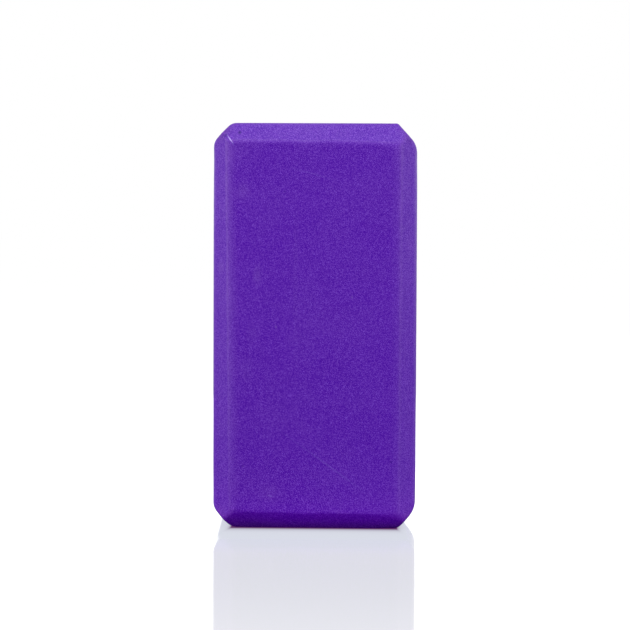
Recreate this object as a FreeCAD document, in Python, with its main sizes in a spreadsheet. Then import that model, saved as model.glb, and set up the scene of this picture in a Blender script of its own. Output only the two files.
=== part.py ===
"""Foam yoga block: two slabs of closed-cell foam glued face to face, with all twelve edges bevelled.

The block stands on one end. X runs across its width, Y through its thickness with the front towards -Y,
and Z up its height from the middle of the end that it stands on. Lengths are in millimetres.
"""
import FreeCAD, Part
import os
import Sketcher

DIMENSIONS = {
    # the block over all
    "block_height": 220,
    "block_width": 110,
    "block_depth": 70,
    # bevels round the two broad faces, and down the four corners between the narrow faces,
    # each measured along the face from where the sharp edge would have been
    "face_bevel": 10,
    "corner_bevel": 10,
    # how softly the broad faces roll over into their bevels, and how softly the other ridges are rounded
    "face_ridge_radius": 4,
    "edge_ridge_radius": 2,
    # the glue between the slabs, and how far it stops short of the outside
    "glue_thickness": 0.3,
    "glue_setback": 0.6,
    # how far each bevelling cut runs out past the foam
    "cut_overrun": 5,
}

HALF_WIDTH = "sizes.block_width / 2"
HALF_DEPTH = "sizes.block_depth / 2"
HALF_HEIGHT = "sizes.block_height / 2"
BOTH_SIDES = (-1, 1)
FRONT = -1
REAR = 1

# a sketch's own origin, and the two ends of a line, as sketches count them
ORIGIN = (-1, 1)
START = 1
END = 2

# how near counts as in one plane, and the largest turn between surfaces, in radians, that is still smooth
ON_PLANE = 1e-6
SMOOTH_TURN = 0.05

doc = FreeCAD.newDocument("yoga_block")


def write_sheet():
    """Keep the driving dimensions in a sheet, one named cell each."""
    sheet = doc.addObject("Spreadsheet::Sheet", "sizes")
    for row, (name, value) in enumerate(DIMENSIONS.items(), start=1):
        sheet.set(f"A{row}", name)
        sheet.set(f"B{row}", str(value))
        sheet.setAlias(f"B{row}", name)
    doc.recompute()
    return sheet


sizes = write_sheet()


def new_piece(name):
    """A body whose own origin is the middle of the block, so that every cut is even about it."""
    body = doc.addObject("PartDesign::Body", name)
    body.Label = name
    body.setExpression("Placement.Base.z", HALF_HEIGHT)
    return body


def new_sketch(body, name, role):
    """An empty sketch on one of the body's own planes."""
    sketch = body.newObject("Sketcher::SketchObject", f"{body.Label}_{name}")
    plane = next(plane for plane in body.Origin.OriginFeatures if plane.Role == role)
    sketch.AttachmentSupport = [(plane, "")]
    sketch.MapMode = "FlatFace"
    return sketch


def add_outline(sketch, points):
    """Join points into a closed outline of straight lines, and give back the lines' numbers."""
    lines = []
    for start, end in zip(points, points[1:] + points[:1]):
        lines.append(sketch.addGeometry(Part.LineSegment(start, end)))
    for line, following in zip(lines, lines[1:] + lines[:1]):
        sketch.addConstraint(Sketcher.Constraint("Coincident", line, END, following, START))
    return lines


def dimension(sketch, kind, start, end, expression):
    """Tie the distance between two points of a sketch to the sheet."""
    value = sketch.evalExpression(expression)
    number = sketch.addConstraint(Sketcher.Constraint(kind, *start, *end, value))
    sketch.setExpression(f"Constraints[{number}]", expression)


def add_rectangle(sketch, width, height):
    """A rectangle about the sketch's origin, its sides given as expressions."""
    half_width = sketch.evalExpression(width) / 2
    half_height = sketch.evalExpression(height) / 2
    bottom, right, top, left = add_outline(sketch, [
        FreeCAD.Vector(-half_width, -half_height, 0),
        FreeCAD.Vector(half_width, -half_height, 0),
        FreeCAD.Vector(half_width, half_height, 0),
        FreeCAD.Vector(-half_width, half_height, 0),
    ])
    for line in (bottom, top):
        sketch.addConstraint(Sketcher.Constraint("Horizontal", line))
    for line in (right, left):
        sketch.addConstraint(Sketcher.Constraint("Vertical", line))
    sketch.addConstraint(Sketcher.Constraint("Symmetric", bottom, START, top, START, *ORIGIN))
    dimension(sketch, "DistanceX", (bottom, START), (bottom, END), width)
    dimension(sketch, "DistanceY", (right, START), (right, END), height)


def add_bevel_section(sketch, side_x, edge_x, side_y, edge_y, bevel):
    """The section of one straight bevelling cut: a right triangle over a sharp edge seen end on.

    edge_x and edge_y are expressions for how far the sharp edge lies from the sketch's origin,
    and side_x and side_y say on which side of it.
    """
    corner_x = f"{side_x} * ({edge_x} + sizes.cut_overrun)"
    corner_y = f"{side_y} * ({edge_y} + sizes.cut_overrun)"
    level_leg = f"{-side_x} * ({bevel} + 2 * sizes.cut_overrun)"
    upright_leg = f"{-side_y} * ({bevel} + 2 * sizes.cut_overrun)"
    corner = FreeCAD.Vector(sketch.evalExpression(corner_x), sketch.evalExpression(corner_y), 0)
    level_end = corner + FreeCAD.Vector(sketch.evalExpression(level_leg), 0, 0)
    upright_end = corner + FreeCAD.Vector(0, sketch.evalExpression(upright_leg), 0)
    level, _, upright = add_outline(sketch, [corner, level_end, upright_end])
    sketch.addConstraint(Sketcher.Constraint("Horizontal", level))
    sketch.addConstraint(Sketcher.Constraint("Vertical", upright))
    dimension(sketch, "DistanceX", ORIGIN, (level, START), corner_x)
    dimension(sketch, "DistanceY", ORIGIN, (level, START), corner_y)
    dimension(sketch, "DistanceX", (level, START), (level, END), level_leg)
    dimension(sketch, "DistanceY", (upright, END), (upright, START), upright_leg)


def cut_through(body, sketch):
    """Run the sketch's sections right through the body, both ways, and make sure that foam came off."""
    doc.recompute()
    before = body.Shape.Volume
    cut = body.newObject("PartDesign::Pocket", f"{sketch.Name}_cut")
    cut.Profile = sketch
    cut.Type = "ThroughAll"
    cut.SideType = "Symmetric"
    doc.recompute()
    if not body.Shape.Volume < before:
        raise RuntimeError(f"{cut.Name} took nothing off {body.Label}")


def bevel_corners(body, half_width, half_height, bevel):
    """Take the four corners off the outline, right through the thickness."""
    sketch = new_sketch(body, "corner_bevels", "XZ_Plane")
    for side_x in BOTH_SIDES:
        for side_z in BOTH_SIDES:
            add_bevel_section(sketch, side_x, half_width, side_z, half_height, bevel)
    cut_through(body, sketch)


def bevel_broad_face(body, facing):
    """Bevel the two long and the two short edges of the broad face; the cuts meet in mitres."""
    long_edges = new_sketch(body, "long_bevels", "XY_Plane")
    for side_x in BOTH_SIDES:
        add_bevel_section(long_edges, side_x, HALF_WIDTH, facing, HALF_DEPTH, "sizes.face_bevel")
    cut_through(body, long_edges)
    short_edges = new_sketch(body, "short_bevels", "YZ_Plane")
    for side_z in BOTH_SIDES:
        add_bevel_section(short_edges, facing, HALF_DEPTH, side_z, HALF_HEIGHT, "sizes.face_bevel")
    cut_through(body, short_edges)


def lies_at(edge, depth):
    """Whether an edge lies in the plane at this depth through the block."""
    return all(abs(vertex.Y - depth) < ON_PLANE for vertex in edge.Vertexes)


def is_ridge(shape, edge):
    """Whether the two surfaces that meet in an edge turn a corner there, instead of running on smoothly."""
    middle = edge.valueAt((edge.FirstParameter + edge.LastParameter) / 2)
    normals = []
    for face in shape.ancestorsOfType(edge, Part.Face):
        normals.append(face.normalAt(*face.Surface.parameter(middle)))
    return normals[0].getAngle(normals[-1]) > SMOOTH_TURN


def round_ridges(body, name, chosen, radius):
    """Round those ridges of the body as it stands that the test called chosen picks out."""
    base = body.Tip
    ridges = []
    for number, edge in enumerate(base.Shape.Edges, start=1):
        if chosen(edge) and is_ridge(base.Shape, edge):
            ridges.append(f"Edge{number}")
    rounding = body.newObject("PartDesign::Fillet", f"{body.Label}_{name}")
    rounding.Base = (base, ridges)
    rounding.setExpression("Radius", radius)
    doc.recompute()


def soften(body, facing):
    """Roll the broad face over into its bevels, then round the other ridges and mitres.

    The rim of the glued face stays square, so that the two slabs meet flush.
    """
    face = facing * sizes.block_depth / 2
    glued = facing * sizes.glue_thickness / 2
    round_ridges(body, "face_ridges", lambda edge: lies_at(edge, face), "sizes.face_ridge_radius")
    round_ridges(body, "edge_ridges", lambda edge: not lies_at(edge, glued), "sizes.edge_ridge_radius")


def foam_slab(name, facing):
    """One slab, sawn square from sheet foam, bevelled on its outer side and glued on its inner one."""
    body = new_piece(name)
    outline = new_sketch(body, "outline", "XZ_Plane")
    outline.setExpression("AttachmentOffset.Base.z", f"{-facing} * sizes.glue_thickness / 2")
    add_rectangle(outline, "sizes.block_width", "sizes.block_height")
    blank = body.newObject("PartDesign::Pad", f"{name}_blank")
    blank.Profile = outline
    blank.Reversed = facing == REAR
    blank.setExpression("Length", "(sizes.block_depth - sizes.glue_thickness) / 2")
    bevel_corners(body, HALF_WIDTH, HALF_HEIGHT, "sizes.corner_bevel")
    bevel_broad_face(body, facing)
    soften(body, facing)
    return body


def glue_film(name):
    """The glue, as wide as the slabs less an even setback all round, corners included."""
    body = new_piece(name)
    outline = new_sketch(body, "outline", "XZ_Plane")
    width = "sizes.block_width - 2 * sizes.glue_setback"
    height = "sizes.block_height - 2 * sizes.glue_setback"
    add_rectangle(outline, width, height)
    film = body.newObject("PartDesign::Pad", f"{name}_sheet")
    film.Profile = outline
    film.SideType = "Symmetric"
    film.setExpression("Length", "sizes.glue_thickness")
    corner = "(sizes.corner_bevel - sizes.glue_setback * (2 - sqrt(2)))"
    bevel_corners(body, f"({width}) / 2", f"({height}) / 2", corner)
    return body


def check_document(bodies):
    """Stop before anything is written if a step of the model failed or a piece isn't one sound solid."""
    for item in doc.Objects:
        if "Invalid" in item.State or "Error" in item.State:
            raise RuntimeError(f"{item.Label} did not build: {item.State}")
    for body in bodies:
        shape = body.Shape
        if shape.isNull() or not shape.isValid() or len(shape.Solids) != 1:
            raise RuntimeError(f"{body.Label} is not one sound solid")


pieces = [
    foam_slab("front_slab", FRONT),
    foam_slab("rear_slab", REAR),
    glue_film("glue_film"),
]
doc.recompute()
check_document(pieces)
os.makedirs("parts", exist_ok=True)
for piece in pieces:
    piece.Shape.exportStep(os.path.join("parts", f"{piece.Label}.step"))
    print(f"{piece.Label}: {piece.Shape.Volume:.1f} cubic mm, {piece.Shape.BoundBox}")
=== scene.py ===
"""Looks of the foam yoga block: two cut foam slabs, the glue line between them, floor, light and camera.

The foam is worked out in millimetres, in a slab's own frame: x across the block, out from its middle plane
towards the broad face, and z up its height. It is put into the block's frame, in metres, at the end.
"""
import math
from dataclasses import dataclass

import bmesh
import bpy
import numpy as np
from mathutils import Matrix, Vector


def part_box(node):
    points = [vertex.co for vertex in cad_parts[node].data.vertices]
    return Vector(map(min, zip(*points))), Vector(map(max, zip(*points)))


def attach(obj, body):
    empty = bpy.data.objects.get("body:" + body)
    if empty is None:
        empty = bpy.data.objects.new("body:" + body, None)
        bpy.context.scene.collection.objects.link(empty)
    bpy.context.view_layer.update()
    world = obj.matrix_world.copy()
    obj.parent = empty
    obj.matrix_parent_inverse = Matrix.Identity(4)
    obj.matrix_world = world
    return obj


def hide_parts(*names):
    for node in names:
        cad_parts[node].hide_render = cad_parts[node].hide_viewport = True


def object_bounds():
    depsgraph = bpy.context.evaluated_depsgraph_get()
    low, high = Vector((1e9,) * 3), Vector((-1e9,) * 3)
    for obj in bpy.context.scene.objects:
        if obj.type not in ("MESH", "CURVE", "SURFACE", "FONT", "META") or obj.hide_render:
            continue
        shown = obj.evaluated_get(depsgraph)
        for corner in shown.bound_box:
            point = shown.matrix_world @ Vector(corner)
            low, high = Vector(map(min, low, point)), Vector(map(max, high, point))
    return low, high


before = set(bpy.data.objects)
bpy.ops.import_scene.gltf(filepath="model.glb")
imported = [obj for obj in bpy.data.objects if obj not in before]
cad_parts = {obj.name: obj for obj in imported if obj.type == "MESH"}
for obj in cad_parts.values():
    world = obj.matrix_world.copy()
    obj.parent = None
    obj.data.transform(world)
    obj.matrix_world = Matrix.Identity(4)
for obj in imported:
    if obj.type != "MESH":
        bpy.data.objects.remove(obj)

CAD_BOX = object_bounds()
MM = 0.001

# The block, in millimetres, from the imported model
LOW, HIGH = (np.array(corner) / MM for corner in CAD_BOX)
HALF_WIDTH = (HIGH[0] - LOW[0]) / 2
HALF_DEPTH = (HIGH[1] - LOW[1]) / 2
HEIGHT = HIGH[2] - LOW[2]
# how far from the middle plane each slab is glued
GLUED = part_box("rear_slab")[0].y / MM
# the way along Y that the broad face of a slab faces
FRONT, REAR = -1, 1

# the lip of each slab is rounded a little at the glue line
SEAM_LIP = 0.5


@dataclass
class Bevel:
    """A bevel of the broad face, which runs from foot to top or from left to right.

    start and end are its leg on that face at its two ends, and side is its leg on the narrow face. soft says
    how rounded its ridge is, and rim the same for its edge on the narrow face. The ridge is painted paler, as
    rubbing and as a painted highlight, by wear_and_highlight_start and wear_and_highlight_end at its two
    ends, along a line at crest on the turn from the face (-1) to the bevel (1), crest_width wide. wander is
    how far the ridge strays from straight, in the way that seed picks.
    """
    start: float
    end: float
    side: float
    soft: float
    rim: float
    wear_and_highlight_start: float
    wear_and_highlight_end: float
    crest: float
    crest_width: float
    wander: float
    seed: int


@dataclass
class Corner:
    """A corner of the outline.

    across and up are the legs of its bevel, and side_bend and end_bend say how rounded its two bends are.
    mitre is the same for the mitre in front of it, and rim for its edge towards the broad face. The mitre is
    painted paler by mitre_wear_and_highlight where it starts on the broad face, as rubbing and as a painted
    highlight.
    """
    across: float
    up: float
    side_bend: float
    end_bend: float
    mitre: float
    mitre_wear_and_highlight: float
    rim: float


@dataclass
class SlabCut:
    """All the cuts of one slab, with left and right as seen facing its broad face."""
    left: Bevel
    right: Bevel
    top: Bevel
    foot: Bevel
    top_left: Corner
    top_right: Corner
    foot_left: Corner
    foot_right: Corner
    face_seed: int


FRONT_CUT = SlabCut(
    left=Bevel(start=11.4, end=8.3, side=9.6, soft=2.2, rim=2.2, wear_and_highlight_start=0.3, wear_and_highlight_end=0.85,
               crest=0.65, crest_width=0.22, wander=0.19, seed=3197),
    right=Bevel(start=9.1, end=8.6, side=9.6, soft=2.4, rim=3.2, wear_and_highlight_start=0.28, wear_and_highlight_end=0.58,
                crest=0.25, crest_width=0.3, wander=0.18, seed=1462),
    top=Bevel(start=9.5, end=10.8, side=9.8, soft=0.9, rim=0.6, wear_and_highlight_start=0.5, wear_and_highlight_end=0.4,
              crest=0.6, crest_width=0.35, wander=0.5, seed=832),
    foot=Bevel(start=9.9, end=8.7, side=9.6, soft=0.5, rim=0.6, wear_and_highlight_start=0.0, wear_and_highlight_end=0.0,
               crest=0.0, crest_width=0.4, wander=0.35, seed=2541),
    top_left=Corner(across=9.8, up=10.5, side_bend=2.0, end_bend=2.0, mitre=0.5, mitre_wear_and_highlight=0.2, rim=0.5),
    top_right=Corner(across=10.4, up=11.5, side_bend=3.0, end_bend=0.6, mitre=1.6, mitre_wear_and_highlight=0.5, rim=0.9),
    foot_left=Corner(across=10.2, up=10.9, side_bend=2.2, end_bend=2.4, mitre=1.5, mitre_wear_and_highlight=0.4, rim=0.9),
    foot_right=Corner(across=9.4, up=10.7, side_bend=3.0, end_bend=2.0, mitre=2.0, mitre_wear_and_highlight=0.1, rim=1.4),
    face_seed=11,
)
REAR_CUT = SlabCut(
    left=Bevel(start=9.3, end=9.7, side=9.8, soft=1.8, rim=2.4, wear_and_highlight_start=0.4, wear_and_highlight_end=0.6,
               crest=0.4, crest_width=0.4, wander=0.15, seed=5),
    right=Bevel(start=9.8, end=9.3, side=9.6, soft=1.6, rim=2.0, wear_and_highlight_start=0.8, wear_and_highlight_end=0.5,
                crest=0.6, crest_width=0.3, wander=0.2, seed=6),
    top=Bevel(start=9.7, end=9.3, side=9.7, soft=1.1, rim=0.7, wear_and_highlight_start=0.2, wear_and_highlight_end=0.3,
              crest=0.3, crest_width=0.4, wander=0.25, seed=7),
    foot=Bevel(start=9.4, end=9.9, side=9.6, soft=0.8, rim=0.7, wear_and_highlight_start=0.2, wear_and_highlight_end=0.1,
               crest=0.2, crest_width=0.4, wander=0.3, seed=8),
    top_left=Corner(across=10.4, up=11.5, side_bend=3.0, end_bend=0.6, mitre=1.2, mitre_wear_and_highlight=0.8, rim=0.8),
    top_right=Corner(across=9.8, up=10.5, side_bend=2.0, end_bend=2.0, mitre=0.6, mitre_wear_and_highlight=1.0, rim=0.6),
    foot_left=Corner(across=9.4, up=10.7, side_bend=3.0, end_bend=2.0, mitre=1.8, mitre_wear_and_highlight=0.3, rim=1.4),
    foot_right=Corner(across=10.2, up=10.9, side_bend=2.2, end_bend=2.4, mitre=1.3, mitre_wear_and_highlight=0.4, rim=0.9),
    face_seed=12,
)

# the long narrow faces swell out a little between the corners: by how much, and from where to where that
# fades out, up and down from the middle of the height
SIDE_SWELL, SWELL_NEAR, SWELL_FAR = 0.22, 70.0, 104.0

# the lengths of the waves in a hand-guided cut
WAVE_LENGTHS = (23.0, 41.0, 77.0)
# how uneven the sawn broad face is, and how far its upright and its level waves lean
FACE_WAVE = 0.05
UPRIGHT_LEAN, LEVEL_LEAN = 0.6, 0.4

# how softly the left and the right half of the outline meet, deep inside the foam
HALVES_SOFT = 1.0
# how far from a corner its own roundness holds, and where it has faded out
CORNER_NEAR, CORNER_FAR = 9.0, 20.0
# beside the pale ridge line the face is paler too, a painted highlight: its share of the line, and its reach
# on that turn
HALO_SHARE, HALO_REACH = 0.46, 1.9
# how wide the pale line along a mitre is on its turn, painted as rubbing and as a highlight, and from where
# to where it fades, in from the face
MITRE_WIDTH, MITRE_NEAR, MITRE_FAR = 0.6, 1.5, 6.0

# the rims of the bevels are painted paler too, as rubbing and as a painted sheen: by how much, and how far
# from the rim
RIM_WEAR_AND_SHEEN, RIM_REACH = 0.36, 2.0
# up to the first height above the foot the rims are not painted paler, and from the second on they fully are
RIM_FOOT_NEAR, RIM_FOOT_FAR = 6.0, 18.0

# longer than any ray through the foam
FARTHEST = 60.0
# how often the way to the surface is halved, and how far out counts as outside
HALVINGS = 28
ON_SURFACE = 1e-7

# the mesh: how far in from the outside the flat middle of each face ends, the size of the cells there,
# the number of cells in half a rounded edge, and where finer cells lie beside the glue line
FAN_INSET = 14.0
CELL = 1.0
FAN_CELLS = 20
SEAM_STEPS = (0.12, 0.25, 0.4, 0.6, 0.9, 1.3)
# rays that agree to so many decimals end in one point
WELD_DIGITS = 6

# how far the glue stops short of the foam, and the number of steps round its rim
GLUE_SETBACK = 0.6
GLUE_TURNS = 720


def wave(along, seed, height):
    """A slow wobble along a cut, the same every time for the same seed."""
    draw = np.random.default_rng(seed)
    total = np.zeros_like(along)
    for length in WAVE_LENGTHS:
        total += np.sin(2 * math.pi * (along / length + draw.random()))
    return height * total / len(WAVE_LENGTHS)


def face_wave(x, z, seed):
    """The slow unevenness of a sawn broad face."""
    return wave(x + UPRIGHT_LEAN * z, seed, FACE_WAVE) + wave(z - LEVEL_LEAN * x, seed + 1, FACE_WAVE)


def fade(distance, near, far):
    """1 up to near, 0 from far on, and a smooth slope between."""
    share = np.clip((far - distance) / (far - near), 0, 1)
    return share * share * (3 - 2 * share)


def join(first, second, soft):
    """The outermost of two surfaces, rounded off where they come within soft of each other.

    A surface is a pair: how far points lie outside it, and how pale it is painted there, for rubbing and for
    painted highlight and sheen.
    """
    first_depth, first_worn_and_lit = first
    second_depth, second_worn_and_lit = second
    gap = (first_depth - second_depth) / soft
    rounding = soft * np.clip(1 - np.abs(gap), 0, None) ** 2 / 4
    share = np.clip(0.5 + gap / 2, 0, 1)
    return np.maximum(first_depth, second_depth) + rounding, share * first_worn_and_lit + (1 - share) * second_worn_and_lit


def slope(inward_a, inward_b, leg_a, leg_b):
    """How far outside a bevel plane points lie, from their distances inside the two faces that it joins."""
    return (leg_a * leg_b - inward_a * leg_b - inward_b * leg_a) / np.hypot(leg_a, leg_b)


def at_corners(x, z, cut, name, elsewhere):
    """A corner's own value near that corner, and the value called elsewhere away from all of them."""
    value = elsewhere
    near_top = fade(HEIGHT - z, CORNER_NEAR, CORNER_FAR)
    near_foot = fade(z, CORNER_NEAR, CORNER_FAR)
    near_left = fade(HALF_WIDTH + x, CORNER_NEAR, CORNER_FAR)
    near_right = fade(HALF_WIDTH - x, CORNER_NEAR, CORNER_FAR)
    for corner, nearness in (
        (cut.top_left, near_top * near_left),
        (cut.top_right, near_top * near_right),
        (cut.foot_left, near_foot * near_left),
        (cut.foot_right, near_foot * near_right),
    ):
        value = value + (getattr(corner, name) - elsewhere) * nearness
    return value


def outline_surface(x, z, cut):
    """The narrow faces and the corner bevels, seen square on to the broad face."""
    plain = np.zeros_like(x)
    swell = SIDE_SWELL * fade(np.abs(z - HEIGHT / 2), SWELL_NEAR, SWELL_FAR)
    from_left, from_right, from_top = HALF_WIDTH + swell + x, HALF_WIDTH + swell - x, HEIGHT - z
    halves = []
    for side, top, foot in (
        (from_left, cut.top_left, cut.foot_left),
        (from_right, cut.top_right, cut.foot_right),
    ):
        half = (-side, plain)
        half = join(half, (slope(side, from_top, top.across, top.up), plain), top.side_bend)
        half = join(half, (slope(side, z, foot.across, foot.up), plain), foot.side_bend)
        halves.append(half)
    surface = join(*halves, HALVES_SOFT)
    left_half = x < 0
    top_bend = np.where(left_half, cut.top_left.end_bend, cut.top_right.end_bend)
    foot_bend = np.where(left_half, cut.foot_left.end_bend, cut.foot_right.end_bend)
    surface = join(surface, (-from_top, plain), top_bend)
    return join(surface, (-z, plain), foot_bend)


def bevel_plane(bevel, inward, from_face, along, length):
    """How far points lie outside one bevel of the broad face."""
    leg = bevel.start + (bevel.end - bevel.start) * along / length + wave(along, bevel.seed, bevel.wander)
    return slope(inward, from_face, leg, bevel.side)


def mitre_wear_and_highlight_lines(face, planes, cut):
    """How pale the four mitres are painted, as rubbing and as a painted highlight, most where they start on
    the broad face.
    """
    left, right, top, foot = planes
    near_face = fade(-face, MITRE_NEAR, MITRE_FAR)
    worn_and_lit = np.zeros_like(face)
    for corner, side, end in (
        (cut.top_left, left, top),
        (cut.top_right, right, top),
        (cut.foot_left, left, foot),
        (cut.foot_right, right, foot),
    ):
        line = np.exp(-((end - side) / (corner.mitre * MITRE_WIDTH)) ** 2)
        beyond_face = np.clip(1 + (side - face) / corner.mitre, 0, 1)
        worn_and_lit = np.maximum(worn_and_lit, corner.mitre_wear_and_highlight * line * beyond_face * near_face)
    return worn_and_lit


def front_surface(x, out, z, cut):
    """The broad face with its four bevels, whose ridges and mitres are painted paler, as rubbing and as a
    painted highlight.
    """
    plain = np.zeros_like(x)
    from_face = HALF_DEPTH - out + face_wave(x, z, cut.face_seed)
    face = -from_face
    surface = (face, plain)
    crest = plain
    cut_before = np.full_like(x, -FARTHEST)
    planes = []
    for bevel, inward, along, length in (
        (cut.left, HALF_WIDTH + x, z, HEIGHT),
        (cut.right, HALF_WIDTH - x, z, HEIGHT),
        (cut.top, HEIGHT - z, HALF_WIDTH + x, 2 * HALF_WIDTH),
        (cut.foot, z, HALF_WIDTH + x, 2 * HALF_WIDTH),
    ):
        plane = bevel_plane(bevel, inward, from_face, along, length)
        across_mitre = bevel in (cut.top, cut.foot)
        soft = at_corners(x, z, cut, "mitre", bevel.soft) if across_mitre else bevel.soft
        turn = (plane - face) / bevel.soft
        # the line along the ridge and the halo beside it are painted paler, as rubbing and as a painted
        # highlight
        line = np.exp(-((turn - bevel.crest) / bevel.crest_width) ** 2)
        halo = HALO_SHARE * fade(-turn, 0, HALO_REACH) * (turn < bevel.crest)
        worn_and_lit = bevel.wear_and_highlight_start + (bevel.wear_and_highlight_end - bevel.wear_and_highlight_start) * along / length
        # an earlier bevel can cut this ridge away, and this bevel an earlier ridge
        hidden = np.clip((cut_before - np.maximum(plane, face)) / soft, 0, 1)
        shown = np.clip(1 - (plane - surface[0]) / soft, 0, 1)
        crest = np.maximum(crest * shown, worn_and_lit * np.maximum(line, halo) * (1 - hidden))
        surface = join(surface, (plane, plain), soft)
        cut_before = np.maximum(cut_before, plane)
        planes.append(plane)
    return surface[0], np.maximum(crest, mitre_wear_and_highlight_lines(face, planes, cut))


def outside(points, cut):
    """How far points lie outside a slab, and how pale it is painted there, for rubbing and for painted
    highlight and sheen.
    """
    x, out, z = points.T
    near_left = fade(HALF_WIDTH + x, CORNER_NEAR, CORNER_FAR)
    near_right = fade(HALF_WIDTH - x, CORNER_NEAR, CORNER_FAR)
    end_rim = np.where(z > HEIGHT / 2, cut.top.rim, cut.foot.rim)
    rim = end_rim + (cut.left.rim - end_rim) * near_left + (cut.right.rim - end_rim) * near_right
    rim = at_corners(x, z, cut, "rim", rim)
    front, side = front_surface(x, out, z, cut), outline_surface(x, z, cut)
    above_foot = 1 - fade(z, RIM_FOOT_NEAR, RIM_FOOT_FAR)
    # the rims are painted paler, as rubbing and as a painted sheen
    rim_wear_and_sheen = RIM_WEAR_AND_SHEEN * fade(np.abs(front[0] - side[0]), 0, RIM_REACH) * above_foot
    depth, worn_and_lit = join(front, side, rim)
    return join((depth, np.maximum(worn_and_lit, rim_wear_and_sheen)), (GLUED - out, np.zeros_like(x)), SEAM_LIP)


def stations(low, high, fan_low=True):
    """Grid stations along one axis: where each stands on the core of the slab, and how far its ray leans.

    Beyond the flat middle the rays fan out, at the low end too unless fan_low is off.
    """
    cells = max(1, round((high - low) / CELL))
    flat = [(value, 0.0) for value in np.linspace(low, high, cells + 1)]
    leans = [math.tan(math.pi / 4 * step / FAN_CELLS) for step in range(1, FAN_CELLS + 1)]
    before = [(low, -lean) for lean in reversed(leans)] if fan_low else []
    after = [(high, lean) for lean in leans]
    return np.array(before + flat + after)


def seam_stations(outs):
    """Add finer stations beside the glue line."""
    seam = [(GLUED + step, 0.0) for step in SEAM_STEPS]
    kept = [tuple(row) for row in outs if row[0] == GLUED or row[0] > GLUED + SEAM_STEPS[-1]]
    return np.array(kept[:1] + seam + kept[1:])


def slab_rays():
    """Rays from the core of a slab to its surface, over all six sides: starts, directions, reaches and quads.

    A reach is the share of its ray that counts: less than 1 only inside the glued side.
    """
    core_x = HALF_WIDTH - FAN_INSET
    core_out = HALF_DEPTH - FAN_INSET
    core_low, core_high = FAN_INSET, HEIGHT - FAN_INSET
    xs = stations(-core_x, core_x)
    zs = stations(core_low, core_high)
    outs = seam_stations(stations(GLUED, core_out, fan_low=False))
    starts, directions, reaches, quads = [], [], [], []

    def add_side(first, second, make):
        """Add the grid of one side, where make turns pairs of stations into rays."""
        base = sum(len(block) for block in starts)
        rows, columns = np.meshgrid(np.arange(len(first)), np.arange(len(second)), indexing="ij")
        start, direction, reach = make(first[rows.ravel()], second[columns.ravel()])
        starts.append(start)
        directions.append(direction)
        reaches.append(reach)
        index = base + np.arange(len(first) * len(second)).reshape(len(first), len(second))
        around = [index[:-1, :-1], index[1:, :-1], index[1:, 1:], index[:-1, 1:]]
        quads.append(np.stack(around, -1).reshape(-1, 4))

    def whole(values):
        return np.ones(len(values))

    def constant(value, like):
        return np.full(len(like), value)

    add_side(xs, zs, lambda x, z: (
        np.stack([x[:, 0], constant(core_out, x), z[:, 0]], 1),
        np.stack([x[:, 1], whole(x), z[:, 1]], 1), whole(x)))
    for side in (-1, 1):
        add_side(outs, zs, lambda out, z: (
            np.stack([constant(side * core_x, out), out[:, 0], z[:, 0]], 1),
            np.stack([constant(side, out), out[:, 1], z[:, 1]], 1), whole(out)))
    for side, level in ((-1, core_low), (1, core_high)):
        add_side(xs, outs, lambda x, out: (
            np.stack([x[:, 0], out[:, 0], constant(level, x)], 1),
            np.stack([x[:, 1], out[:, 1], constant(side, x)], 1), whole(x)))

    def glued(x, z):
        reach = np.maximum(np.abs(x[:, 1]), np.abs(z[:, 1]))
        flat = reach == 0
        scale = np.where(flat, 1, reach)
        across = np.where(flat, 1, x[:, 1] / scale)
        start = np.stack([x[:, 0], constant(GLUED, x), z[:, 0]], 1)
        return start, np.stack([across, np.zeros(len(x)), z[:, 1] / scale], 1), reach

    add_side(xs, zs, glued)
    directions = np.concatenate(directions)
    directions /= np.linalg.norm(directions, axis=1, keepdims=True)
    return np.concatenate(starts), directions, np.concatenate(reaches), np.concatenate(quads)


def weld(starts, directions, reaches, quads):
    """Make one point of the points that neighbouring sides share along their common edges."""
    # adding zero makes one zero of the two signs that a zero can have
    key = np.round(np.hstack([starts, directions, reaches[:, None]]), WELD_DIGITS) + 0.0
    _, first, inverse = np.unique(key, axis=0, return_index=True, return_inverse=True)
    return starts[first], directions[first], reaches[first], inverse.ravel()[quads]


def way_out(count, farthest, is_outside):
    """Find by halving how far each of count rays runs before it comes outside."""
    near = np.zeros(count)
    far = np.full(count, farthest)
    for _ in range(HALVINGS):
        middle = (near + far) / 2
        beyond = is_outside(middle)
        far = np.where(beyond, middle, far)
        near = np.where(beyond, near, middle)
    return near


def cast(starts, directions, reaches, cut):
    """Run the rays out to the surface of the slab, and say how pale it is painted where each one ends, for
    rubbing and for painted highlight and sheen.
    """
    def is_outside(run):
        depth, _ = outside(starts + directions * run[:, None], cut)
        return depth > ON_SURFACE

    run = way_out(len(starts), FARTHEST, is_outside)
    points = starts + directions * (run * reaches)[:, None]
    _, wear_and_highlight = outside(points, cut)
    return points, wear_and_highlight


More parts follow.
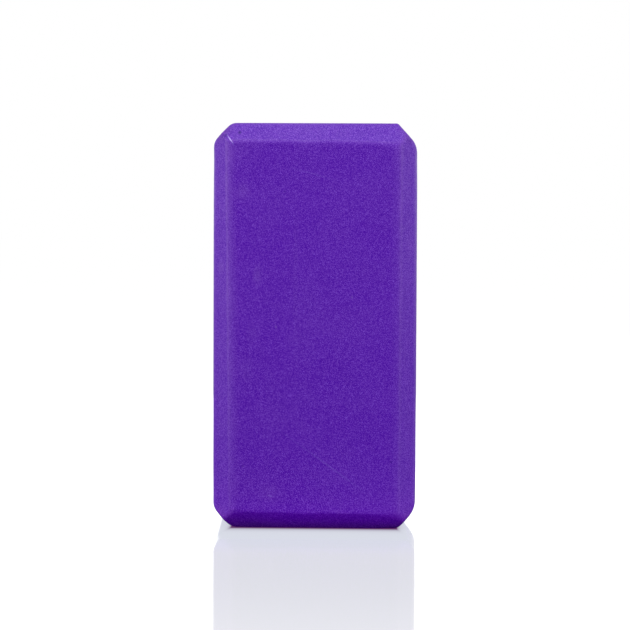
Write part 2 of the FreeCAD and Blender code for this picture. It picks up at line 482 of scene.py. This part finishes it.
def glue_sheet(name, node, material):
    """Build the glue film, which stops short of the foam all round."""
    angles = np.linspace(0, 2 * math.pi, GLUE_TURNS, endpoint=False)
    heading = np.stack([np.sin(angles), np.cos(angles)], 1)
    middle = np.array([0.0, HEIGHT / 2])

    def is_outside(run):
        x, z = (middle + heading * run[:, None]).T
        depth = np.maximum(outline_surface(x, z, FRONT_CUT)[0], outline_surface(-x, z, REAR_CUT)[0])
        return depth > -GLUE_SETBACK

    rim = middle + heading * way_out(GLUE_TURNS, HEIGHT, is_outside)[:, None]
    points, faces = [], []
    for out in (-GLUED, GLUED):
        points += [(x * MM, out * MM, z * MM) for x, z in rim]
    points += [(0.0, out * MM, middle[1] * MM) for out in (-GLUED, GLUED)]
    for turn in range(GLUE_TURNS):
        following = (turn + 1) % GLUE_TURNS
        faces.append((turn, following, GLUE_TURNS + following, GLUE_TURNS + turn))
        faces.append((following, turn, 2 * GLUE_TURNS))
        faces.append((GLUE_TURNS + turn, GLUE_TURNS + following, 2 * GLUE_TURNS + 1))
    piece = new_piece(name, points, faces, material)
    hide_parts(node)


def new_piece(name, points, faces, material):
    """A closed mesh that rides on the block."""
    mesh = bpy.data.meshes.new(name)
    mesh.from_pydata(points, [], faces)
    mesh.validate()
    solid = bmesh.new()
    solid.from_mesh(mesh)
    bmesh.ops.recalc_face_normals(solid, faces=solid.faces)
    solid.to_mesh(mesh)
    solid.free()
    mesh.materials.append(material)
    piece = bpy.data.objects.new(name, mesh)
    bpy.context.scene.collection.objects.link(piece)
    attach(piece, "root")
    return piece


def foam_slab(name, node, facing, cut, material):
    """Build one slab of foam as a closed mesh in the block's frame."""
    starts, directions, reaches, quads = weld(*slab_rays())
    points, wear_and_highlight = cast(starts, directions, reaches, cut)
    x, out, z = points.T
    placed = np.stack([-facing * x, facing * out, z], 1) * MM
    piece = new_piece(name, placed.tolist(), quads.tolist(), material)
    # this attribute holds how pale the foam is painted, as rubbing and as painted highlight and sheen
    piece.data.attributes.new("wear_and_highlight", "FLOAT", "POINT").data.foreach_set("value", wear_and_highlight.astype(np.float32))
    piece.data.shade_smooth()
    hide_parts(node)


# how a colour mix node counts its inputs and its result
MIX_SHARE, MIX_FIRST, MIX_SECOND, MIX_RESULT = 0, 6, 7, 2


class Nodes:
    """A short way to write a node tree: each call adds a node and sets or links its inputs."""

    def __init__(self, tree):
        self.tree = tree
        tree.nodes.clear()

    def add(self, kind, inputs=None, **settings):
        """Any node, its inputs named or numbered."""
        made = self.tree.nodes.new(kind)
        for name, value in settings.items():
            setattr(made, name, value)
        for name, value in (inputs or {}).items():
            if isinstance(value, bpy.types.NodeSocket):
                self.tree.links.new(value, made.inputs[name])
            else:
                made.inputs[name].default_value = value
        return made

    def math(self, operation, a, b=0.0):
        """A sum, product or the like of one or two values."""
        return self.add("ShaderNodeMath", {0: a, 1: b}, operation=operation).outputs[0]

    def ramp(self, value, low, high, to_low=0.0, to_high=1.0):
        """A smooth slope from to_low, for a value of low or less, to to_high, for one of high or more."""
        inputs = {"Value": value, "From Min": low, "From Max": high, "To Min": to_low, "To Max": to_high}
        return self.add("ShaderNodeMapRange", inputs, interpolation_type="SMOOTHSTEP").outputs[0]

    def mix(self, share, first, second):
        """A colour that goes from first to second as share goes from 0 to 1."""
        inputs = {MIX_SHARE: share, MIX_FIRST: first, MIX_SECOND: second}
        return self.add("ShaderNodeMix", inputs, data_type="RGBA").outputs[MIX_RESULT]

    def vector(self, operation, a, b):
        """A vector worked out from two others."""
        return self.add("ShaderNodeVectorMath", {0: a, 1: b}, operation=operation).outputs["Vector"]

    def product(self, a, b):
        """How far one vector runs along another, times the length of that one."""
        made = self.add("ShaderNodeVectorMath", {0: a, 1: b}, operation="DOT_PRODUCT")
        return made.outputs["Value"]

    def place_in_mm(self):
        """Where a point lies in the block's frame, in millimetres."""
        place = self.add("ShaderNodeTexCoord").outputs["Object"]
        scaled = self.add("ShaderNodeVectorMath", {0: place, "Scale": 1 / MM}, operation="SCALE")
        return scaled.outputs["Vector"]


def new_material(name):
    """An empty material, and a way to write its nodes."""
    material = bpy.data.materials.new(name)
    material.use_nodes = True
    return material, Nodes(material.node_tree)


# the colours of the foam: its open and its closed cells, the closed ones whiter partly as painted glints, and
# its rubbing (partly painted highlight and sheen), creases, painted shade in pits, and soil
FOAM_DARK = (0.082, 0.0, 0.364, 1.0)
# the closed cells are paler and whiter, partly as painted glints of their walls
FOAM_LIGHT = (0.256, 0.078, 0.606, 1.0)
RUBBED_AND_SHEEN = (0.32, 0.145, 0.53, 1.0)
CREASED = (0.60, 0.42, 0.95, 1.0)
# the painted shade in pits
PIT_SHADE = (0.03, 0.0, 0.18, 1.0)
SOILED = (0.10, 0.02, 0.10, 1.0)
# how much a ridge at full strength turns to the rubbing colour, which there stands partly for a painted
# highlight
WEAR_AND_HIGHLIGHT_SHARE = 0.4
# roughness of the open and of the closed cells
FOAM_ROUGHNESS = (0.55, 0.32)
FOAM_SPECULAR = 0.22
# the foam's fine cells, its coarser pores and its slow mottle, to the millimetre
CELL_SCALE, PORE_SCALE, MOTTLE_SCALE = 4.6, 1.3, 0.03
# from where to where, out from the middle of a pore, its wall rises, and how deep that is, in metres
PORE_WALL = (0.12, 0.55)
PORE_DEPTH = 0.00004
# how much the pores count beside the cells, and from where to where both together turn from open to closed
PORE_WEIGHT = 0.15
GRAIN_RANGE = (0.5, 0.95)
# how much paler the mottle makes the foam, from where to where in its noise, and the noise itself
MOTTLE = 0.05
MOTTLE_RANGE = (0.35, 0.75)
MOTTLE_DETAIL, MOTTLE_ROUGHNESS = 2.0, 0.6
# scratches are noise drawn out along their direction: how fast it changes that way, as a share of how fast it
# does across, the noise itself, and from where to where in it they show
SCRATCH_ALONG_SHARE = 0.05
SCRATCH_DETAIL, SCRATCH_ROUGHNESS = 3.0, 0.7
SCRATCH_RANGE = (0.56, 0.72)
# how far along a crease is at its strongest
CREASE_PEAK = 0.3


@dataclass
class Smudge:
    """A soft patch on the foam: its middle and half sizes in the block's frame, and its strength."""
    place: tuple
    reach: tuple
    strength: float


@dataclass
class Crease:
    """A thin pale line on the foam: its start and end across and up the block, half its width and strength.

    It fades out at its end, and some way before its start.
    """
    start: tuple
    end: tuple
    half_width: float
    strength: float


@dataclass
class Scratches:
    """A patch of fine scratches: its middle and half sizes, their angle in degrees, spacing and strength."""
    place: tuple
    reach: tuple
    angle: float
    spacing: float
    strength: float


FRONT_SMUDGES = (
    # the first four, at the corners, pale the corner bevels: partly smudges, partly a painted sheen where
    # they catch the light
    Smudge((-48.0, -31.0, 213.0), (11.0, 11.0, 11.0), 0.01),
    Smudge((50.0, -30.0, 213.0), (9.0, 9.0, 9.0), 0.05),
    Smudge((-50.0, -30.0, 7.0), (9.0, 9.0, 9.0), 0.10),
    Smudge((50.0, -30.0, 7.0), (9.0, 9.0, 9.0), 0.05),
    Smudge((-42.0, -35.0, 205.0), (12.0, 6.0, 12.0), 0.06),
    Smudge((-38.8, -35.0, 183.0), (6.0, 6.0, 8.0), 0.15),
    Smudge((-30.7, -35.0, 138.0), (3.6, 6.0, 9.0), 0.15),
    Smudge((-32.7, -35.0, 107.0), (6.0, 6.0, 9.0), 0.07),
    Smudge((-36.5, -35.0, 86.0), (6.0, 6.0, 11.0), 0.07),
    Smudge((-23.0, -35.0, 20.0), (11.0, 6.0, 7.0), 0.08),
    Smudge((-50.5, -30.0, 142.5), (3.5, 7.0, 6.0), 0.14),
    Smudge((52.0, -29.0, 155.0), (3.0, 7.0, 14.0), 0.08),
    Smudge((-10.0, -35.0, 143.0), (2.2, 6.0, 68.0), 0.05),
    Smudge((-4.0, -35.0, 112.0), (16.0, 6.0, 40.0), 0.03),
    Smudge((20.5, -35.0, 126.4), (1.0, 6.0, 1.0), 0.4),
    Smudge((-20.4, -35.0, 110.2), (1.0, 6.0, 1.0), 0.4),
)
FRONT_CREASES = (
    # the first, at the top left corner, is partly a painted highlight along the crease
    Crease((-44.4, 209.6), (-47.7, 213.9), 0.5, 0.9),
    Crease((-8.5, 194.7), (17.8, 187.7), 0.6, 0.05),
    Crease((-11.9, 49.5), (39.2, 13.6), 0.6, 0.05),
    Crease((3.3, 38.7), (30.2, 18.8), 0.6, 0.05),
    Crease((-24.2, 18.8), (-21.2, 18.0), 0.6, 0.16),
)
# dark spots painted as the shade in small pits
FRONT_PITS = (
    Smudge((-40.6, -30.0, 214.7), (1.4, 9.0, 1.4), 0.9),
    Smudge((42.0, -35.0, 37.5), (1.0, 9.0, 1.0), 0.6),
    Smudge((-48.1, -30.0, 213.1), (1.6, 9.0, 1.6), 0.7),
    Smudge((-15.9, -35.0, 183.0), (0.9, 9.0, 0.9), 0.5),
    Smudge((-38.1, -35.0, 34.6), (0.9, 9.0, 0.9), 0.5),
    Smudge((41.9, -35.0, 185.0), (0.9, 9.0, 0.9), 0.5),
)
FRONT_SOIL = (
    Smudge((-51.0, -28.0, 215.5), (9.0, 9.0, 9.0), 0.3),
    Smudge((51.0, -28.0, 215.5), (9.0, 9.0, 9.0), 0.14),
    Smudge((51.0, -28.0, 4.5), (9.0, 9.0, 9.0), 0.2),
    Smudge((-51.0, -28.0, 4.5), (9.0, 9.0, 9.0), 0.1),
)
FRONT_SCRATCHES = (
    Scratches((15.0, -35.0, 31.0), (28.0, 6.0, 14.0), -38.0, 2.6, 0.10),
    Scratches((0.0, -35.0, 191.0), (9.0, 6.0, 4.0), -20.0, 1.8, 0.12),
    Scratches((2.0, -35.0, 118.0), (12.0, 6.0, 10.0), 30.0, 3.0, 0.05),
)
REAR_SMUDGES = (
    # the first four, at the corners, pale the corner bevels: partly smudges, partly a painted sheen where
    # they catch the light
    Smudge((50.0, 30.0, 214.0), (9.0, 9.0, 9.0), 0.12),
    Smudge((-50.0, 30.0, 213.0), (9.0, 9.0, 9.0), 0.14),
    Smudge((50.0, 30.0, 7.0), (9.0, 9.0, 9.0), 0.12),
    Smudge((-50.0, 30.0, 7.0), (9.0, 9.0, 9.0), 0.10),
    Smudge((28.0, 35.0, 160.0), (12.0, 6.0, 9.0), 0.08),
    Smudge((-18.0, 35.0, 70.0), (9.0, 6.0, 16.0), 0.06),
    Smudge((6.0, 35.0, 25.0), (15.0, 6.0, 8.0), 0.07),
)
REAR_CREASES = (
    Crease((-45.1, 9.6), (-47.0, 7.4), 0.5, 0.4),
)
# dark spots painted as the shade in small pits
REAR_PITS = (
    Smudge((21.0, 35.0, 128.0), (0.9, 9.0, 0.9), 0.6),
    Smudge((-33.0, 35.0, 187.0), (0.8, 9.0, 0.8), 0.6),
)
REAR_SOIL = (
    Smudge((51.0, 28.0, 215.5), (9.0, 9.0, 9.0), 0.2),
    Smudge((-51.0, 28.0, 4.5), (9.0, 9.0, 9.0), 0.15),
)
REAR_SCRATCHES = (
    Scratches((-20.0, 35.0, 150.0), (20.0, 6.0, 18.0), 35.0, 3.2, 0.08),
    Scratches((22.0, 35.0, 48.0), (14.0, 6.0, 10.0), -60.0, 2.4, 0.08),
)


def patch(nodes, place, mark):
    """A soft-edged patch: 1 in the middle of a mark, 0 outside it."""
    offset = nodes.vector("SUBTRACT", place, mark.place)
    share = nodes.vector("DIVIDE", offset, mark.reach)
    away = nodes.add("ShaderNodeVectorMath", {0: share}, operation="LENGTH").outputs["Value"]
    return nodes.ramp(away, 0.0, 1.0, 1.0, 0.0)


def crease_line(nodes, place, mark):
    """A thin line, strongest at one place along it, that fades out evenly both ways from there."""
    start = Vector((mark.start[0], 0.0, mark.start[1]))
    run = Vector((mark.end[0], 0.0, mark.end[1])) - start
    sideways = Vector((-run.z, 0.0, run.x)) / run.length
    flat = nodes.vector("MULTIPLY", place, (1.0, 0.0, 1.0))
    offset = nodes.vector("SUBTRACT", flat, start)
    along = nodes.product(offset, run / run.length_squared)
    across = nodes.math("ABSOLUTE", nodes.product(offset, sideways))
    line = nodes.ramp(across, 0.0, mark.half_width, 1.0, 0.0)
    from_peak = nodes.math("ABSOLUTE", nodes.math("SUBTRACT", along, CREASE_PEAK))
    return nodes.math("MULTIPLY", line, nodes.ramp(from_peak, 0.0, 1 - CREASE_PEAK, 1.0, 0.0))


def scratch_lines(nodes, place, mark):
    """Thin broken lines that all run one way, fading out towards the edge of their patch."""
    turned = nodes.add("ShaderNodeVectorRotate", {
        "Vector": place,
        "Axis": (0.0, 1.0, 0.0),
        "Angle": math.radians(mark.angle),
    }, rotation_type="AXIS_ANGLE")
    scale = (SCRATCH_ALONG_SHARE / mark.spacing, 0.0, 1 / mark.spacing)
    lines = nodes.add("ShaderNodeTexNoise", {
        "Vector": nodes.vector("MULTIPLY", turned.outputs["Vector"], scale),
        "Scale": 1.0,
        "Detail": SCRATCH_DETAIL,
        "Roughness": SCRATCH_ROUGHNESS,
    })
    return nodes.math("MULTIPLY", nodes.ramp(lines.outputs["Fac"], *SCRATCH_RANGE), patch(nodes, place, mark))


def foam_material(name, smudges, creases, pits, soil, scratches):
    """Skived closed-cell foam: fine open cells, a faint mottle, ridges and rims painted paler as rubbing and
    as painted highlight and sheen, and the marks of use, with painted shade in its pits.
    """
    material, nodes = new_material(name)
    place = nodes.place_in_mm()
    cells = nodes.add("ShaderNodeTexVoronoi", {"Vector": place, "Scale": CELL_SCALE})
    chance = nodes.add("ShaderNodeSeparateColor", {0: cells.outputs["Color"]}).outputs[0]
    pores = nodes.add("ShaderNodeTexVoronoi", {"Vector": place, "Scale": PORE_SCALE})
    wall = nodes.ramp(pores.outputs["Distance"], *PORE_WALL)
    grain = nodes.math("ADD",
                       nodes.math("MULTIPLY", chance, 1 - PORE_WEIGHT),
                       nodes.math("MULTIPLY", wall, PORE_WEIGHT))
    grain = nodes.ramp(grain, *GRAIN_RANGE)
    mottle = nodes.add("ShaderNodeTexNoise", {
        "Vector": place,
        "Scale": MOTTLE_SCALE,
        "Detail": MOTTLE_DETAIL,
        "Roughness": MOTTLE_ROUGHNESS,
    })
    pale = nodes.ramp(mottle.outputs["Fac"], *MOTTLE_RANGE, 0.0, MOTTLE)
    for mark in smudges:
        pale = nodes.math("ADD", pale, nodes.math("MULTIPLY", patch(nodes, place, mark), mark.strength))
    for mark in scratches:
        share = nodes.math("MULTIPLY", scratch_lines(nodes, place, mark), mark.strength)
        pale = nodes.math("ADD", pale, share)
    wear_and_highlight = nodes.add("ShaderNodeAttribute", attribute_name="wear_and_highlight").outputs["Fac"]
    # ridges, mitres and rims turn paler, as rubbing and as painted highlight and sheen
    pale = nodes.math("ADD", pale, nodes.math("MULTIPLY", wear_and_highlight, WEAR_AND_HIGHLIGHT_SHARE))
    colour = nodes.mix(pale, nodes.mix(grain, FOAM_DARK, FOAM_LIGHT), RUBBED_AND_SHEEN)
    # soil, creases and the painted shade in pits go on last
    for marks, draw, marked in ((soil, patch, SOILED), (creases, crease_line, CREASED), (pits, patch, PIT_SHADE)):
        for mark in marks:
            share = nodes.math("MULTIPLY", draw(nodes, place, mark), mark.strength)
            colour = nodes.mix(share, colour, marked)
    bump = nodes.add("ShaderNodeBump", {"Height": wall, "Strength": 1.0, "Distance": PORE_DEPTH})
    shader = nodes.add("ShaderNodeBsdfPrincipled", {
        "Base Color": colour,
        "Roughness": nodes.ramp(grain, 0.0, 1.0, *FOAM_ROUGHNESS),
        "Specular IOR Level": FOAM_SPECULAR,
        "Normal": bump.outputs["Normal"],
    })
    nodes.add("ShaderNodeOutputMaterial", {"Surface": shader.outputs[0]})
    return material


# the dried glue: its two colours, its roughness from run to run, and the noise that makes the runs
GLUE_DARK = (0.03, 0.006, 0.11, 1.0)
GLUE_LIGHT = (0.09, 0.03, 0.24, 1.0)
GLUE_ROUGHNESS = (0.3, 0.55)
GLUE_SCALE, GLUE_DETAIL = 0.4, 3.0
GLUE_RANGE = (0.2, 0.8)


def glue_material():
    """Dried contact glue seen at the bottom of the seam: dark, uneven and a little glossy."""
    material, nodes = new_material("dried_glue")
    runs = nodes.add("ShaderNodeTexNoise", {
        "Vector": nodes.place_in_mm(),
        "Scale": GLUE_SCALE,
        "Detail": GLUE_DETAIL,
    }).outputs["Fac"]
    shader = nodes.add("ShaderNodeBsdfPrincipled", {
        "Base Color": nodes.mix(runs, GLUE_DARK, GLUE_LIGHT),
        "Roughness": nodes.ramp(runs, *GLUE_RANGE, *GLUE_ROUGHNESS),
    })
    nodes.add("ShaderNodeOutputMaterial", {"Surface": shader.outputs[0]})
    return material


# half the width of the floor, in metres, and the sheet that it is made of
FLOOR_HALF_SIZE = 6.0
FLOOR_COLOUR = (0.05, 0.05, 0.05, 1.0)
FLOOR_ROUGHNESS = (0.05, 0.06)
FLOOR_IOR = 1.15
# the haze that makes its roughness vary: its noise, and from where to where in that
HAZE_SCALE, HAZE_DETAIL = 3.0, 2.0
HAZE_RANGE = (0.3, 0.7)
# the floor's brightness with a painted shadow of the block: beside the block, a little way off and far off,
# and where those are, in metres
SHADOWED_GLOW_NEAR = (0.612, 0.642, 0.655, 1.0)
SHADOWED_GLOW_OFF = (0.662, 0.684, 0.652, 1.0)
GLOW_FAR = (1.0, 1.0, 1.0, 1.0)
OFF, FAR = 0.1, 0.8
# how much the floor mirrors, and from where that fades out, until the same far place, in metres
MIRROR = 0.5
MIRROR_NEAR = 0.33
# the shade under the overhang of the block: its colour, from where to where it fades beside the block,
# in front and behind, in metres, and how far it leans to one side on its way out and lies off the middle
OVERHANG = (0.645, 0.665, 0.745, 1.0)
OVERHANG_SIDE = (0.0500, 0.0530)
OVERHANG_LEAN, OVERHANG_OFFSET = 0.04, 0.0016
OVERHANG_FRONT = (0.05, 0.13)
OVERHANG_REAR = (0.0, 0.06)
# the painted contact shadow at the contact line: its colour, its strength there before it is held to 1, and
# how fast it fades beside the block and in front of it, in metres
CONTACT_SHADOW = (0.11, 0.02, 0.13, 1.0)
CONTACT_SHADE = 1.4
CONTACT_REACH = (0.001, 0.0049, 1.0)
# the light that the floor throws back onto the block: its colours beside the block and further off, its share
# right at the contact, and where that share is whole and the further colour is reached, in metres
BOUNCE_NEAR = (0.66, 0.0, 1.00, 1.0)
BOUNCE_FAR = (0.06, 0.0, 0.50, 1.0)
BOUNCE_AT_CONTACT, BOUNCE_REACH, BOUNCE_SPREAD = 0.18, 0.02, 0.04
# half the width and half the depth of the end that the block stands on, in metres
FOOTPRINT = ((HALF_WIDTH - FRONT_CUT.foot_left.across) * MM, (HALF_DEPTH - FRONT_CUT.foot.side) * MM, 0.0)


def floor():
    """A pale glossy sheet that the block stands on."""
    mesh = bpy.data.meshes.new("floor")
    sides = ((-1, -1), (1, -1), (1, 1), (-1, 1))
    corners = [(across * FLOOR_HALF_SIZE, away * FLOOR_HALF_SIZE, 0) for across, away in sides]
    mesh.from_pydata(corners, [], [(0, 1, 2, 3)])
    mesh.materials.append(floor_material())
    sheet = bpy.data.objects.new("floor", mesh)
    bpy.context.scene.collection.objects.link(sheet)


def overhang_shade(nodes, place):
    """Where the floor lies in the shade of the block: 1 under its overhang in front, fading to 0 outside."""
    spot = nodes.add("ShaderNodeSeparateXYZ", {0: place})
    leaning = nodes.math("ADD", spot.outputs["X"], nodes.math("MULTIPLY", spot.outputs["Y"], OVERHANG_LEAN))
    from_middle = nodes.math("ABSOLUTE", nodes.math("ADD", leaning, OVERHANG_OFFSET))
    beside = nodes.ramp(from_middle, *OVERHANG_SIDE, 1.0, 0.0)
    not_behind = nodes.ramp(spot.outputs["Y"], *OVERHANG_REAR, 1.0, 0.0)
    not_far = nodes.ramp(nodes.math("ABSOLUTE", spot.outputs["Y"]), *OVERHANG_FRONT, 1.0, 0.0)
    return nodes.math("MULTIPLY", nodes.math("MULTIPLY", beside, not_behind), not_far)


def contact_shade(nodes, outside_foot):
    """How dark the painted contact shadow makes the floor at the line where the block touches it, fading out
    from there.
    """
    steps = nodes.add("ShaderNodeSeparateXYZ", {0: nodes.vector("DIVIDE", outside_foot, CONTACT_REACH)})
    farther = nodes.math("MAXIMUM", steps.outputs["X"], steps.outputs["Y"])
    nearness = nodes.math("POWER", 1 / math.e, farther)
    return nodes.math("MINIMUM", nodes.math("MULTIPLY", nearness, CONTACT_SHADE), 1.0)


def floor_material():
    """White acrylic that glows by itself to the camera, with painted shade round the block, under its
    overhang and at its contact line, mirrors the block and throws tinted light back.
    """
    material, nodes = new_material("white_acrylic")
    path = nodes.add("ShaderNodeLightPath")
    place = nodes.add("ShaderNodeTexCoord").outputs["Object"]
    haze = nodes.add("ShaderNodeTexNoise", {"Vector": place, "Scale": HAZE_SCALE, "Detail": HAZE_DETAIL})
    spot = nodes.add("ShaderNodeVectorMath", {0: place}, operation="ABSOLUTE").outputs["Vector"]
    outside_foot = nodes.vector("SUBTRACT", spot, FOOTPRINT)
    gap = nodes.add("ShaderNodeSeparateXYZ", {0: outside_foot})
    away = nodes.math("MAXIMUM", gap.outputs["X"], gap.outputs["Y"])
    under = overhang_shade(nodes, place)
    # darker round the block, under its overhang and at the contact line: painted shade
    glow_with_painted_shade = nodes.mix(nodes.ramp(away, 0.0, OFF), SHADOWED_GLOW_NEAR, SHADOWED_GLOW_OFF)
    glow_with_painted_shade = nodes.mix(nodes.ramp(away, OFF, FAR), glow_with_painted_shade, GLOW_FAR)
    glow_with_painted_shade = nodes.mix(under, glow_with_painted_shade, OVERHANG)
    glow_with_painted_shade = nodes.mix(contact_shade(nodes, outside_foot), glow_with_painted_shade, CONTACT_SHADOW)
    mirror = nodes.math("MULTIPLY",
                        nodes.ramp(under, 0.0, 1.0, MIRROR, 0.0),
                        nodes.ramp(away, MIRROR_NEAR, FAR, 1.0, 0.0))
    sheet = nodes.add("ShaderNodeBsdfPrincipled", {
        "Base Color": FLOOR_COLOUR,
        "Roughness": nodes.ramp(haze.outputs["Fac"], *HAZE_RANGE, *FLOOR_ROUGHNESS),
        "IOR": FLOOR_IOR,
        "Specular IOR Level": mirror,
        "Emission Color": glow_with_painted_shade,
        "Emission Strength": 1.0,
    })
    share = nodes.ramp(away, 0.0, BOUNCE_REACH, BOUNCE_AT_CONTACT, 1.0)
    tint = nodes.mix(nodes.ramp(away, BOUNCE_REACH, BOUNCE_SPREAD), BOUNCE_NEAR, BOUNCE_FAR)
    bounce = nodes.add("ShaderNodeEmission", {
        "Color": tint,
        "Strength": nodes.math("MULTIPLY", path.outputs["Is Diffuse Ray"], share),
    })
    seen = nodes.add("ShaderNodeMixShader", {
        0: path.outputs["Is Camera Ray"],
        1: bounce.outputs[0],
        2: sheet.outputs[0],
    })
    nodes.add("ShaderNodeOutputMaterial", {"Surface": seen.outputs[0]})
    return material


# the middle of the block, which all the lights face, and the colours of the lights
MIDDLE = Vector((0, 0, HEIGHT * MM / 2))
WHITE, COOL, WARM = (1.0, 1.0, 1.0), (0.76, 0.99, 0.94), (1.0, 1.0, 0.88)
# name, place, width and height in metres, power in watts, and colour of each soft light
SOFT_LIGHTS = (
    ("overhead", (0.0, -0.25, 1.5), 1.2, 1.0, 10.9, COOL),
    ("left", (-1.2, -0.3, 0.5), 0.8, 1.0, 8.3, WARM),
    ("left_front", (-0.95, -0.95, 0.65), 0.6, 1.0, 6.2, WHITE),
    ("right", (1.2, -0.3, 0.5), 0.8, 1.0, 8.1, WARM),
    ("right_front", (0.95, -0.95, 0.65), 0.6, 1.0, 4.6, WHITE),
    ("front", (0.0, -1.3, 1.15), 1.0, 0.8, 5.0, WHITE),
    ("rear", (0.0, 1.5, 0.6), 1.4, 1.0, 12.0, WHITE),
)
# only these are mirrored in glossy surfaces: the others would show in the floor as bright squares
MIRRORED_LIGHTS = ("overhead", "left", "right")
# glossy surfaces mirror pale surroundings, whole up to the first of these and gone from the second, each the
# sine of an elevation
SURROUND_FULL, SURROUND_NONE = 0.2, 0.5
# and this is how bright they are in front of the block and behind it
SURROUND_FRONT, SURROUND_REAR = 0.85, 2.2
SURROUND_COLOUR = (1.0, 1.0, 1.0, 1.0)


def studio():
    """White surroundings, with soft lights above and all round."""
    world = bpy.data.worlds.new("surroundings")
    world.use_nodes = True
    bpy.context.scene.world = world
    nodes = Nodes(world.node_tree)
    path = nodes.add("ShaderNodeLightPath")
    direction = nodes.add("ShaderNodeSeparateXYZ", {0: nodes.add("ShaderNodeTexCoord").outputs["Generated"]})
    band = nodes.ramp(direction.outputs["Z"], SURROUND_FULL, SURROUND_NONE, 1.0, 0.0)
    facing = nodes.ramp(direction.outputs["Y"], -1.0, 1.0, SURROUND_FRONT, SURROUND_REAR)
    mirrored = nodes.math("MULTIPLY", path.outputs["Is Glossy Ray"], nodes.math("MULTIPLY", band, facing))
    level = nodes.math("MAXIMUM", path.outputs["Is Camera Ray"], mirrored)
    white = nodes.add("ShaderNodeBackground", {"Color": SURROUND_COLOUR, "Strength": level})
    nodes.add("ShaderNodeOutputWorld", {"Surface": white.outputs[0]})
    for name, place, width, height, power, colour in SOFT_LIGHTS:
        lamp = bpy.data.lights.new(name, "AREA")
        lamp.shape = "RECTANGLE"
        lamp.size, lamp.size_y = width, height
        lamp.energy = power
        lamp.color = colour
        light = bpy.data.objects.new(name, lamp)
        light.visible_glossy = name in MIRRORED_LIGHTS
        light.location = place
        light.rotation_euler = (MIDDLE - light.location).to_track_quat("-Z", "Y").to_euler()
        bpy.context.scene.collection.objects.link(light)
    bpy.context.scene.view_settings.view_transform = "Standard"


# the camera, fitted to the outline of the block in the photo: its turns, its distance in metres from the
# point that it faces, its lens in millimetres, and that point
CAMERA_YAW = math.radians(2.287)
CAMERA_PITCH = math.radians(3.157)
CAMERA_ROLL = math.radians(0.239)
CAMERA_DISTANCE = 1.4
CAMERA_LENS = 144.83
CAMERA_TARGET = Vector((-0.0008, 0.0, 0.1148))


def camera():
    """A long lens a little to the right of the block, just under the height of its top."""
    data = bpy.data.cameras.new("camera")
    data.lens = CAMERA_LENS
    back = Vector((
        math.sin(CAMERA_YAW) * math.cos(CAMERA_PITCH),
        -math.cos(CAMERA_YAW) * math.cos(CAMERA_PITCH),
        math.sin(CAMERA_PITCH)))
    place = Matrix.Translation(CAMERA_TARGET + back * CAMERA_DISTANCE)
    turn = (-back).to_track_quat("-Z", "Y").to_matrix().to_4x4()
    eye = bpy.data.objects.new("camera", data)
    eye.matrix_world = place @ turn @ Matrix.Rotation(CAMERA_ROLL, 4, "Z")
    bpy.context.scene.collection.objects.link(eye)
    bpy.context.scene.camera = eye


front_foam = foam_material(
    "front_foam", FRONT_SMUDGES, FRONT_CREASES, FRONT_PITS, FRONT_SOIL, FRONT_SCRATCHES)
rear_foam = foam_material(
    "rear_foam", REAR_SMUDGES, REAR_CREASES, REAR_PITS, REAR_SOIL, REAR_SCRATCHES)
foam_slab("front_foam", "front_slab", FRONT, FRONT_CUT, front_foam)
foam_slab("rear_foam", "rear_slab", REAR, REAR_CUT, rear_foam)
glue_sheet("glue_line", "glue_film", glue_material())
floor()
studio()
camera()
